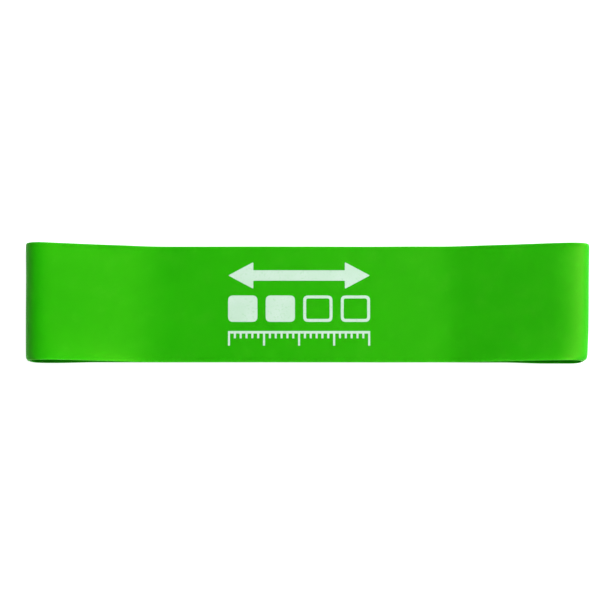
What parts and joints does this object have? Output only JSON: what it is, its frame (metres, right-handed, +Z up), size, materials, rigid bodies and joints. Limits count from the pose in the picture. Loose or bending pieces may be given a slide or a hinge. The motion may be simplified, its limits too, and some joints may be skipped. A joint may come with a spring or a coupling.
{
  "type": "loop resistance band",
  "caption": "Flat seamless latex loop for strength and mobility exercises, lying in two layers with a rounded fold at each end and printed marks on its upper face.",
  "frame": {"origin": "middle of the footprint, on the surface that the band lies on", "axes": "+X along the band towards the end that is pulled, +Y across the band's width, +Z up out of the printed face"},
  "size_m": [0.2436, 0.0508, 0.0118],
  "materials": {
    "latex": "satin translucent green latex",
    "print_ink": "thin matt pale printing ink"
  },
  "bodies": {
    "left_end": {"left_bend": "latex", "upper_run": "latex", "lower_run": "latex", "print_arrow": "print_ink", "print_level_blocks": "print_ink", "print_scale": "print_ink"},
    "right_end": {"right_bend": "latex"}
  },
  "joints": [
    {"name": "stretch", "type": "slide", "parent": "left_end", "child": "right_end", "axis": [1, 0, 0], "range_m": [0, 0.37], "stiffness_N_per_m": 250, "deforming": ["upper_run", "lower_run", "print_arrow", "print_level_blocks", "print_scale"]}
  ]
}
